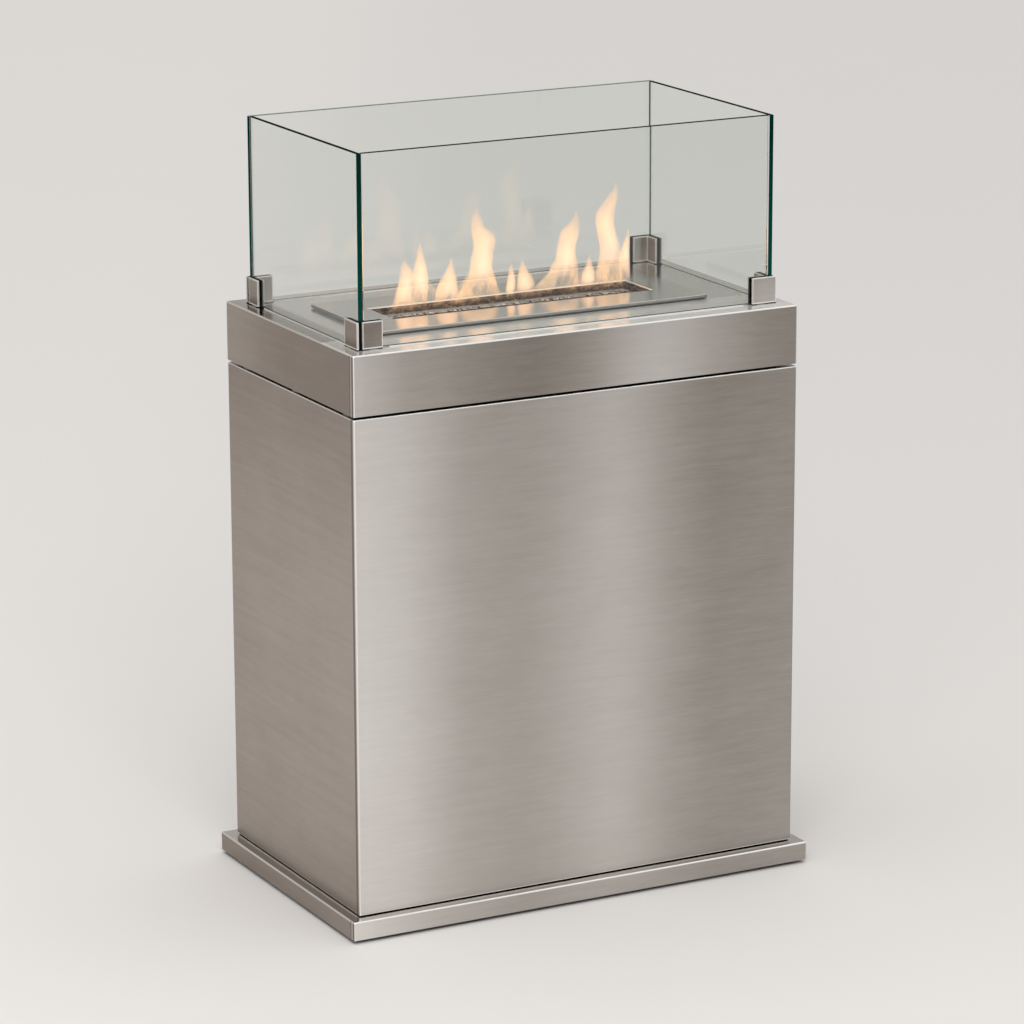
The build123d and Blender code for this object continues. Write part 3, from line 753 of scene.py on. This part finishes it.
class WoolSettings(PropertyGroup):
    """Ceramic wool that soaks up the fuel."""

    white: colour("White", "Clean fibres", (0.92, 0.92, 0.90))
    grey: colour("Grey", "Fibres in the shade", (0.24, 0.235, 0.23))
    mauve: colour("Mauve", "Fibres tinted by heat", (0.50, 0.46, 0.45))
    speck: colour("Speck", "Burnt specks", (0.012, 0.010, 0.009))
    matted: colour("Matted", "Matted fibres at the back", (0.36, 0.33, 0.29))
    fibres_per_area: FloatProperty(name="Fibre density", description="Fibres per square metre",
                                   default=420000.0, min=0.0)
    fibre_length: length("Fibre length", "Length of a fibre", 0.0045)
    fibre_radius: length("Fibre radius", "Radius of a fibre", 0.00011)
    seed: IntProperty(name="Seed", description="Start of the random numbers", default=7)


class FlameSettings(PropertyGroup):
    """Flames over the slot."""

    core: colour("Core", "Light of the pale core", (1.75, 1.13, 0.77))
    rim: colour("Rim", "Light of the orange rim", (1.48, 0.86, 0.42))
    shells: IntProperty(name="Shells", description="Shells that make one flame", default=9,
                        min=2)
    layer_cover: share("Layer cover", "How much one shell hides what is behind it", 0.11)
    foot: length("Foot", "Height over which a flame thickens from its foot", 0.024)


class StageSettings(PropertyGroup):
    """Floor, world and camera."""

    floor: colour("Floor", "Colour of the floor", (0.81, 0.785, 0.760))
    # paler floor to the left, a painted pool of light
    floor_left: colour("Floor, left", "Paler floor to the left", (0.865, 0.835, 0.805))
    backdrop: colour("Backdrop", "What metal and glass see beyond the floor", (0.70, 0.675, 0.65))
    overhead: colour("Overhead", "What metal and glass see above", (1.15, 1.15, 1.15))
    rear_shade: share("Rear shade", "How much darker metal and glass see the room's far end", 0.33)
    ambient: colour("Ambient", "Even light from above", (0.88, 0.88, 0.88))
    ambient_low: colour("Low ambient", "Light from near the horizon", (0.12, 0.12, 0.12))
    lens: FloatProperty(name="Lens", description="Focal length on a 36 mm sensor, in mm",
                        default=155.56)
    camera_place: FloatVectorProperty(name="Camera", description="Place of the camera",
                                      default=(-2.661864, -5.060835, 1.982126), size=3,
                                      subtype="XYZ", unit="LENGTH")
    azimuth: bearing("Azimuth", "Turn of the camera round the object", -27.748)
    elevation: bearing("Elevation", "Camera's tilt above the horizon", 14.657)
    roll: bearing("Roll", "Camera's roll", -0.203)


SETTINGS = {
    "fireplace_steel": SteelSettings,
    "fireplace_glass": GlassSettings,
    "fireplace_burner": BurnerSettings,
    "fireplace_wool": WoolSettings,
    "fireplace_flame": FlameSettings,
    "fireplace_stage": StageSettings,
}


# ---------------------------------------------------------------- pieces
class FIREPLACE_OT_casing(Operator):
    """Brush the plinth, the cabinet, its rear panel and the burner housing"""

    bl_idname = "fireplace.casing"
    bl_label = "Casing"

    def execute(self, context):
        steel = context.scene.fireplace_steel
        paint(brushed_steel("plinth_brushed", steel, PLINTH_SHEET), "plinth_shell")
        paint(brushed_steel("cabinet_brushed", steel, CABINET_SHEET), "cabinet_shell",
              "rear_panel")
        paint(brushed_steel("housing_brushed", steel, HOUSING_SHEET), "housing_shell")
        return {"FINISHED"}


class FIREPLACE_OT_burner(Operator):
    """Finish the burner unit: plate, heat-tinted throat, deck, shutter, tank and seal"""

    bl_idname = "fireplace.burner"
    bl_label = "Burner unit"

    # width of the plate's bright edge, a painted highlight
    rim_width = 1.6 * MM

    def execute(self, context):
        steel = context.scene.fireplace_steel
        burner = context.scene.fireplace_burner
        front_rim = (PLATE[0].y - MM, PLATE[0].y + 3 * MM)
        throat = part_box("burner_throat")
        slot_rear = (throat[1].y - 2 * MM, throat[1].y + 1.5 * MM)
        # the plate's front and slot edges get a painted highlight, and its lowest strip painted shade
        paint(brushed_steel("plate_brushed", steel, PLATE_SHEET,
                            bright_edges=[front_rim, slot_rear], edge_width=self.rim_width,
                            shadow_below=PLATE[0].z + 0.8 * MM), "burner_plate")
        paint(heat_tinted_steel("throat_tinted", burner, bright_above=throat[1].z - RIM),
              "burner_throat")
        paint(heat_tinted_steel("deck_tinted", burner, shade_before=WOOL[0].y), "tank_deck")
        paint(heat_tinted_steel("shutter_tinted", burner), "shutter", "shutter_lip",
              "shutter_guides")
        paint(zinc_steel("tank_sheet"), "burner_tank", "wool_cage")
        paint(rubber("seal_black", 0.012), "burner_seal")
        return {"FINISHED"}


class FIREPLACE_OT_guard(Operator):
    """Glaze the wind guard and finish its corner clips"""

    bl_idname = "fireplace.guard"
    bl_label = "Glass guard"

    # how far the beads stop short of the panes' ends, and how far they stand off the steel
    clip_reach = 36 * MM
    bead_gap = 0.02 * MM

    def beads(self, bm):
        """One bead under each pane, between its clips."""
        for pane in ("front", "rear", "left", "right"):
            low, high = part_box(f"glass_{pane}")
            long_axis = 0 if pane in ("front", "rear") else 1
            size = [high.x - low.x, high.y - low.y, low.z - HOUSING[1].z - 2 * self.bead_gap]
            size[long_axis] -= 2 * self.clip_reach
            middle = Vector(((low.x + high.x) / 2, (low.y + high.y) / 2,
                             (low.z + HOUSING[1].z) / 2))
            made = bmesh.ops.create_cube(bm, size=1.0)
            for vert in made["verts"]:
                vert.co = middle + Vector(vert.co[i] * size[i] for i in range(3))

    def execute(self, context):
        glass = context.scene.fireplace_glass
        side, depth = 0, 1
        beads = mesh_from("pane_beads", self.beads, bedding("silicone_pale", glass))
        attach(beads, "cabinet")
        paint(pane_glass("glass_front", glass, depth, joined_ends=[(side, 1.0), (side, -1.0)]),
              "glass_front")
        paint(pane_glass("glass_rear", glass, depth, shaded_ends=[(side, 1.0)],
                         top=glass.rear_top), "glass_rear")
        paint(pane_glass("glass_left", glass, side, joined_ends=[(depth, 1.0)]), "glass_left")
        paint(pane_glass("glass_right", glass, side, shaded_ends=[(depth, 1.0)]), "glass_right")
        # the clips get painted highlights on edges and foot, and painted shade at the very bottom
        clips = brushed_steel("clip_brushed", context.scene.fireplace_steel, CLIP_SHEET,
                              bright_edges=[(HOUSING[0].y, HOUSING[1].y)],
                              shadow_below=CLIP_FOOT + 0.2 * MM,
                              bright_below=CLIP_FOOT + 2.0 * MM)
        lining = rubber("clip_rubber", 0.006)
        for corner in CORNERS:
            paint(clips, f"clip_plates_{corner}", f"clip_bracket_{corner}")
            paint(lining, f"clip_rubber_{corner}")
        return {"FINISHED"}


class FIREPLACE_OT_trim(Operator):
    """Finish feet, seals, bolts, screws and the sheets inside"""

    bl_idname = "fireplace.trim"
    bl_label = "Trim and inside"

    def execute(self, context):
        paint(rubber("foot_rubber"), *[f"foot_{corner}" for corner in CORNERS])
        paint(rubber("joint_black", 0.008), "base_joint")
        zinc = zinc_steel("zinc_plated")
        paint(zinc, "front_stiffener", "rear_panel_screws", "housing_base", "heat_shield",
              "gap_spacers", "housing_bolts", "housing_nuts", "plinth_bolts", "plinth_nuts",
              "foot_bolts", "foot_nuts", "foot_washers")
        return {"FINISHED"}


class FIREPLACE_OT_wool(Operator):
    """Make the ceramic wool: a rough block with fibres standing out of its top"""

    bl_idname = "fireplace.wool"
    bl_label = "Ceramic wool"

    # distance from point to point in the top, its bumps to the metre, how far it sinks, and how
    # far fibres may stand above the CAD block
    grid = 0.0012
    bumps_per_metre = 260
    sink = 1.2 * MM
    rise = 0.2 * MM

    def block(self, bm):
        """Closed block with a rough top."""
        low, high = WOOL
        columns = round((high.x - low.x) / self.grid)
        rows = round((high.y - low.y) / self.grid)
        tops = []
        for row in range(rows + 1):
            y = low.y + (high.y - low.y) * row / rows
            line = []
            for column in range(columns + 1):
                x = low.x + (high.x - low.x) * column / columns
                rough = noise.fractal(Vector((x, y, 0.0)) * self.bumps_per_metre, 1.0, 2.0, 4)
                line.append(bm.verts.new((x, y, high.z - self.sink / 2 + rough * self.sink)))
            tops.append(line)
        for row in range(rows):
            for column in range(columns):
                bm.faces.new((tops[row][column], tops[row][column + 1],
                              tops[row + 1][column + 1], tops[row + 1][column]))
        rim = (tops[0] + [line[-1] for line in tops[1:]] + tops[-1][-2::-1]
               + [line[0] for line in tops[-2:0:-1]])
        foot = [bm.verts.new((v.co.x, v.co.y, low.z)) for v in rim]
        for i, vert in enumerate(rim):
            j = (i + 1) % len(rim)
            bm.faces.new((vert, foot[i], foot[j], rim[j]))
        bm.faces.new(foot)

    def fibres(self, wool, material):
        """Short bent fibres spread over the block's top, joined with the block."""
        recipe = Recipe("wool_fibres", [
            ("Density", "NodeSocketFloat", wool.fibres_per_area),
            ("Length", "NodeSocketFloat", wool.fibre_length),
            ("Radius", "NodeSocketFloat", wool.fibre_radius),
            ("Seed", "NodeSocketInt", wool.seed)])
        add, given = recipe.add, recipe.given
        normal = add("GeometryNodeInputNormal")
        upward = add("ShaderNodeSeparateXYZ", None, {0: normal}, out=2)
        on_top = add("FunctionNodeCompare", {"data_type": "FLOAT", "operation": "GREATER_THAN"},
                     {0: upward, 1: 0.3})
        points = add("GeometryNodeDistributePointsOnFaces", {"distribute_method": "RANDOM"}, {
            "Mesh": given("Geometry"), "Selection": on_top, "Density": given("Density"),
            "Seed": given("Seed")})
        end = add("ShaderNodeCombineXYZ", None, {"X": given("Length")})
        middle = add("ShaderNodeVectorMath", {"operation": "MULTIPLY_ADD"}, {
            0: end, 1: (0.5, 0.0, 0.0), 2: (0.0, 0.0007, 0.0001)})
        bend = add("GeometryNodeCurveQuadraticBezier", None,
                   {"Resolution": 3, "Start": (0.0, 0.0, 0.0), "Middle": middle, "End": end})
        ring = add("GeometryNodeCurvePrimitiveCircle", None,
                   {"Resolution": 3, "Radius": given("Radius")})
        fibre = add("GeometryNodeCurveToMesh", None,
                    {"Curve": bend, "Profile Curve": ring, "Fill Caps": True})
        turn = add("FunctionNodeRandomValue", {"data_type": "FLOAT_VECTOR"}, {
            0: (-0.25, -0.22, 0.0), 1: (0.25, 0.22, math.tau), "Seed": given("Seed")})
        size = add("FunctionNodeRandomValue", {"data_type": "FLOAT"},
                   {2: 0.5, 3: 1.3, "Seed": given("Seed")}, out=1)
        spread = add("GeometryNodeInstanceOnPoints", None, {
            "Points": points, "Instance": fibre, "Rotation": turn, "Scale": size})
        joined = recipe.tree.nodes.new("GeometryNodeJoinGeometry")
        recipe.tree.links.new(given("Geometry"), joined.inputs[0])
        recipe.tree.links.new(spread, joined.inputs[0])
        recipe.finish(joined.outputs[0], material)
        return recipe

    def execute(self, context):
        wool = context.scene.fireplace_wool
        material = wool_finish("ceramic_wool", wool)
        piece = mesh_from("wool_strip", self.block)
        self.fibres(wool, material).apply(piece)
        low, high = WOOL
        for vert in piece.data.vertices:
            vert.co.x = min(max(vert.co.x, low.x), high.x)
            vert.co.y = min(max(vert.co.y, low.y), high.y)
            vert.co.z = min(vert.co.z, high.z + self.rise)
        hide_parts("ceramic_wool")
        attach(piece, "burner")
        return {"FINISHED"}


# each flame: how thick it is, the share of its height that is hollow, and its levels of height,
# centre and half width in millimetres
FLAMES = [
    (0.9, 0.28, [(0, -161, 10), (11, -156, 11), (27, -149, 11.5), (46, -144, 10.5),
                 (58, -144, 8.5), (66, -147, 5), (80, -149, 0)]),
    (1.0, 0.32, [(0, -132, 15), (16, -130, 14), (34, -127, 12.5), (49, -125, 11),
                 (60, -124, 9), (72, -124, 6.5), (84, -124, 4), (101, -124, 0)]),
    (1.0, 0.30, [(0, -90, 20), (18, -86, 16), (33, -84, 13), (44, -82, 10.5), (54, -80, 6.5),
                 (61, -78, 3.5), (74, -78, 0)]),
    (1.0, 0.27, [(0, -38, 42), (14, -37, 34), (30, -36, 24), (49, -35, 16.5), (75, -32, 15),
                 (90, -31, 17), (99, -34, 14), (108, -39, 9), (124, -41, 5.5), (141, -40, 0)]),
    (0.9, 0.25, [(0, 9, 7), (16, 9, 6.5), (28, 10, 6), (38, 10, 4.5), (46, 9, 3),
                 (59, 10, 0)]),
    (0.9, 0.30, [(0, 28, 9), (15, 29, 11), (24, 31, 12), (33, 30, 10.5), (41, 29, 7),
                 (48, 28, 4), (62, 28, 0)]),
    (1.0, 0.34, [(0, 66, 40), (12, 77, 32), (28, 86, 26), (40, 89, 21), (52, 92, 15.5),
                 (69, 93, 14), (80, 96, 15), (90, 99, 13), (99, 104, 8.5), (108, 107, 5),
                 (122, 108, 0)]),
    (0.9, 0.30, [(0, 125, 12), (19, 125, 10.5), (31, 126, 9), (41, 127, 5), (47, 127, 3),
                 (58, 127, 0)]),
    (1.0, 0.30, [(0, 156, 26), (13, 157, 21), (31, 159, 18), (50, 160, 15), (65, 160, 13.5),
                 (80, 156, 13), (95, 152, 13), (107, 152, 13), (118, 156, 11), (128, 162, 8.5),
                 (138, 166, 5.5), (156, 168, 0)]),
    (0.9, 0.40, [(0, 181, 7), (28, 182, 7.5), (48, 182, 6.5), (62, 184, 4.5), (74, 186, 3),
                 (90, 187, 0)]),
    (0.5, 0.90, [(0, -145, 22), (20, -142, 18), (34, -140, 12), (50, -138, 0)]),
    (0.5, 0.90, [(0, -108, 16), (16, -108, 14), (30, -112, 10), (48, -118, 0)]),
    (0.5, 0.90, [(0, -66, 18), (16, -62, 15), (30, -58, 8), (50, -52, 0)]),
    (0.4, 0.90, [(0, 56, 20), (18, 62, 14), (32, 70, 8), (52, 78, 0)]),
    (0.5, 0.90, [(0, 128, 36), (14, 128, 32), (26, 128, 22), (38, 127, 0)]),
]


class FIREPLACE_OT_flames(Operator):
    """Make the flames as nested see-through shells over the slot"""

    bl_idname = "fireplace.flames"
    bl_label = "Flames"

    rings = 30
    sides = 14
    thickest = 12 * MM
    # a flame waves to the front and rear: radians for each metre of height, and reach at its tip
    wave_rate = 48
    wave_reach = 2.0 * MM
    # its shells are uneven: spots to the metre across and up, and depth as a share of half the
    # shell's width
    ruffle_across = 70
    ruffle_up = 34
    ruffle_depth = 0.25
    # streaks: millimetres of height to one step of their pattern, and how far apart in the
    # pattern two flames lie
    streak_length = 40
    streak_step = 7.3

    def at(self, levels, height):
        """Centre and half width of a flame at a height, smooth from level to level."""
        last = len(levels) - 2
        i = next((n for n in range(last) if height <= levels[n + 1][0]), last)
        before, low, high, after = (levels[max(i - 1, 0)], levels[i], levels[i + 1],
                                    levels[min(i + 2, last + 1)])
        span = high[0] - low[0]
        t = min(max((height - low[0]) / span, 0.0), 1.0)
        found = []
        for k in (1, 2):
            rise_low = (high[k] - before[k]) / max(high[0] - before[0], 1) * span
            rise_high = (after[k] - low[k]) / max(after[0] - low[0], 1) * span
            found.append((2 * t ** 3 - 3 * t ** 2 + 1) * low[k] + (t ** 3 - 2 * t ** 2 + t) * rise_low
                         + (3 * t ** 2 - 2 * t ** 3) * high[k] + (t ** 3 - t ** 2) * rise_high)
        return found

    def shell(self, bm, number, thick, hollow, levels, inward, turn):
        """One closed shell: inward 0 is the flame's outside."""
        shape = bm.verts.layers.float_vector["shape"]
        streak = bm.verts.layers.float_vector["streak"]
        body = bm.verts.layers.float["body"]
        full = levels[-1][0]
        top = full * (1 - 0.40 * inward)
        rings = []
        for i in range(self.rings):
            share_up = 1 - (1 - i / (self.rings - 1)) ** 1.2
            height = share_up * top
            up = height / full
            centre, outer = self.at(levels, height)
            narrow = (1 - inward) * (1 - inward * share_up ** 3) * min(1.0, (1 - share_up) * 7)
            half = max(outer * narrow, 0.05) * MM
            deep = min(half * 0.9, self.thickest * (1 - inward * 0.8))
            z = height * MM
            wave = math.sin(z * self.wave_rate + turn) * self.wave_reach * up
            ring = []
            for j in range(self.sides):
                angle = math.tau * j / self.sides
                across = math.cos(angle) * narrow
                x = centre * MM + half * math.cos(angle)
                y = WOOL_MIDDLE_Y + wave + deep * math.sin(angle)
                spot = Vector((x * self.ruffle_across, y * self.ruffle_across,
                               z * self.ruffle_up + turn))
                ruffle = noise.noise(spot) * half * self.ruffle_depth
                vert = bm.verts.new((x + ruffle * math.cos(angle), y + ruffle * 0.5,
                                     WOOL[1].z + z))
                vert[shape] = (across, up, hollow)
                vert[streak] = (across, height / self.streak_length, number * self.streak_step)
                vert[body] = thick
                ring.append(vert)
            rings.append(ring)
        faces = []
        for low, high in zip(rings, rings[1:]):
            for j in range(self.sides):
                k = (j + 1) % self.sides
                faces.append(bm.faces.new((low[j], low[k], high[k], high[j])))
        faces.append(bm.faces.new(rings[0][::-1]))
        faces.append(bm.faces.new(rings[-1]))
        for face in faces:
            face.smooth = True

    def execute(self, context):
        flame = context.scene.fireplace_flame

        def build(bm):
            bm.verts.layers.float_vector.new("shape")
            bm.verts.layers.float_vector.new("streak")
            bm.verts.layers.float.new("body")
            for number, (thick, hollow, levels) in enumerate(FLAMES):
                for layer in range(flame.shells):
                    inward = 0.9 * (layer / flame.shells) ** 1.6
                    self.shell(bm, number, thick, hollow, levels, inward,
                               number * 2.1 + layer * 0.12)

        piece = mesh_from("flames", build, flame_finish("flame", flame))
        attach(piece, "burner")
        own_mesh(piece)
        return {"FINISHED"}


class FIREPLACE_OT_stage(Operator):
    """Make the floor, the soft lamp, the world and the camera"""

    bl_idname = "fireplace.stage"
    bl_label = "Stage"

    # the lamp is a softbox in front of the object, to the left and above
    lamp_place = (-1.2, -2.6, 2.6)
    lamp_aim = (0.0, -0.4, 0.0)
    lamp_size = (2.0, 1.5)
    lamp_radiance = 4.1
    # half of the floor's width
    floor_reach = 40.0
    # see-through surfaces that a ray may pass, enough for the shells of five flames in a row
    shells_passed = 96

    def floor(self, stage):
        finish, place = new_finish("floor_paper")
        across, deep, _ = finish.parts(place)
        grain = finish.noise(place, (3.0, 3.0, 3.0), 3.0)
        # the floor is painted paler to the left of the view, a painted pool of light
        leftward = deep * math.sin(-stage.azimuth) - across * math.cos(stage.azimuth)
        colour = finish.mix(leftward.rising(0.0, 0.9), rgba(stage.floor), rgba(stage.floor_left))
        colour = finish.mix(grain * 0.04, colour, grey(0.6))
        material = finish.finished(finish.surface(Base_Color=colour, Roughness=0.9,
                                                  Specular_IOR_Level=0.1))
        half = self.floor_reach

        def build(bm):
            corners = [(-half, -half), (half, -half), (half, half), (-half, half)]
            bm.faces.new([bm.verts.new((x, y, 0.0)) for x, y in corners])

        mesh_from("floor", build, material)

    def lamp(self):
        light = bpy.data.lights.new("lamp_front", "AREA")
        light.shape = "RECTANGLE"
        light.size, light.size_y = self.lamp_size
        light.energy = self.lamp_radiance * math.pi * math.prod(self.lamp_size)
        lamp = link(bpy.data.objects.new("lamp_front", light))
        lamp.location = self.lamp_place
        way = Vector(self.lamp_aim) - Vector(self.lamp_place)
        lamp.rotation_euler = way.to_track_quat("-Z", "Y").to_euler()
        lamp.visible_camera = False

    def world(self, stage):
        """Even light, and the pale backdrop for what the camera, metal and glass see."""
        world = bpy.data.worlds.new("studio")
        bpy.context.scene.world = world
        finish = Finish(world)
        path = finish.add("ShaderNodeLightPath", out="Is Camera Ray")
        outputs = path.socket.node.outputs
        seen = path + Value(finish, outputs["Is Glossy Ray"])
        seen = (seen + Value(finish, outputs["Is Transmission Ray"])).clamped()
        way = finish.add("ShaderNodeTexCoord", out="Generated")
        _, rearward, rise = finish.parts(way)
        light = finish.mix(rise.rising(0.0, 0.5), rgba(stage.ambient_low), rgba(stage.ambient))
        sight = finish.mix(rise.rising(0.35, 0.8), rgba(stage.backdrop), rgba(stage.overhead))
        sight = finish.shade(sight, 1.0 - rearward.rising(0.1, 0.6) * stage.rear_shade)
        ambient = finish.add("ShaderNodeBackground", None, {0: light, 1: 1.0})
        backdrop = finish.add("ShaderNodeBackground", None, {0: sight, 1: 1.0})
        finish.finished(finish.mix_shaders(seen, ambient, backdrop), "ShaderNodeOutputWorld")

    def camera(self, stage):
        data = bpy.data.cameras.new("camera")
        data.sensor_width = 36.0
        data.lens = stage.lens
        data.clip_end = 200.0
        camera = link(bpy.data.objects.new("camera", data))
        a, e = stage.azimuth, stage.elevation
        back = Vector((math.sin(a) * math.cos(e), -math.cos(a) * math.cos(e), math.sin(e)))
        right = Vector((math.cos(a), math.sin(a), 0.0))
        turn = Matrix((right, back.cross(right), back)).transposed()
        camera.matrix_world = (Matrix.Translation(stage.camera_place)
                               @ (turn @ Matrix.Rotation(stage.roll, 3, "Z")).to_4x4())
        bpy.context.scene.camera = camera

    def execute(self, context):
        stage = context.scene.fireplace_stage
        self.floor(stage)
        self.lamp()
        self.world(stage)
        self.camera(stage)
        context.scene.view_settings.view_transform = "Standard"
        context.scene.cycles.transparent_max_bounces = self.shells_passed
        return {"FINISHED"}


OPERATORS = [FIREPLACE_OT_stage, FIREPLACE_OT_casing, FIREPLACE_OT_burner, FIREPLACE_OT_guard,
             FIREPLACE_OT_trim, FIREPLACE_OT_wool, FIREPLACE_OT_flames]


class FIREPLACE_PT_panel(Panel):
    """Lists the pieces and their settings"""

    bl_idname = "FIREPLACE_PT_panel"
    bl_label = "Fireplace"
    bl_space_type = "VIEW_3D"
    bl_region_type = "UI"
    bl_category = "Fireplace"

    def draw(self, context):
        for operator in OPERATORS:
            self.layout.operator(operator.bl_idname)
        for name in SETTINGS:
            settings = getattr(context.scene, name)
            box = self.layout.box()
            for key in settings.__annotations__:
                box.prop(settings, key)


CLASSES = [*SETTINGS.values(), *OPERATORS, FIREPLACE_PT_panel]


def register():
    for cls in CLASSES:
        bpy.utils.register_class(cls)
    for name, cls in SETTINGS.items():
        setattr(bpy.types.Scene, name, PointerProperty(type=cls))


def unregister():
    for name in SETTINGS:
        delattr(bpy.types.Scene, name)
    for cls in reversed(CLASSES):
        bpy.utils.unregister_class(cls)


def main():
    register()
    for operator in OPERATORS:
        group, name = operator.bl_idname.split(".")
        getattr(getattr(bpy.ops, group), name)()


if __name__ == "__main__":
    main()
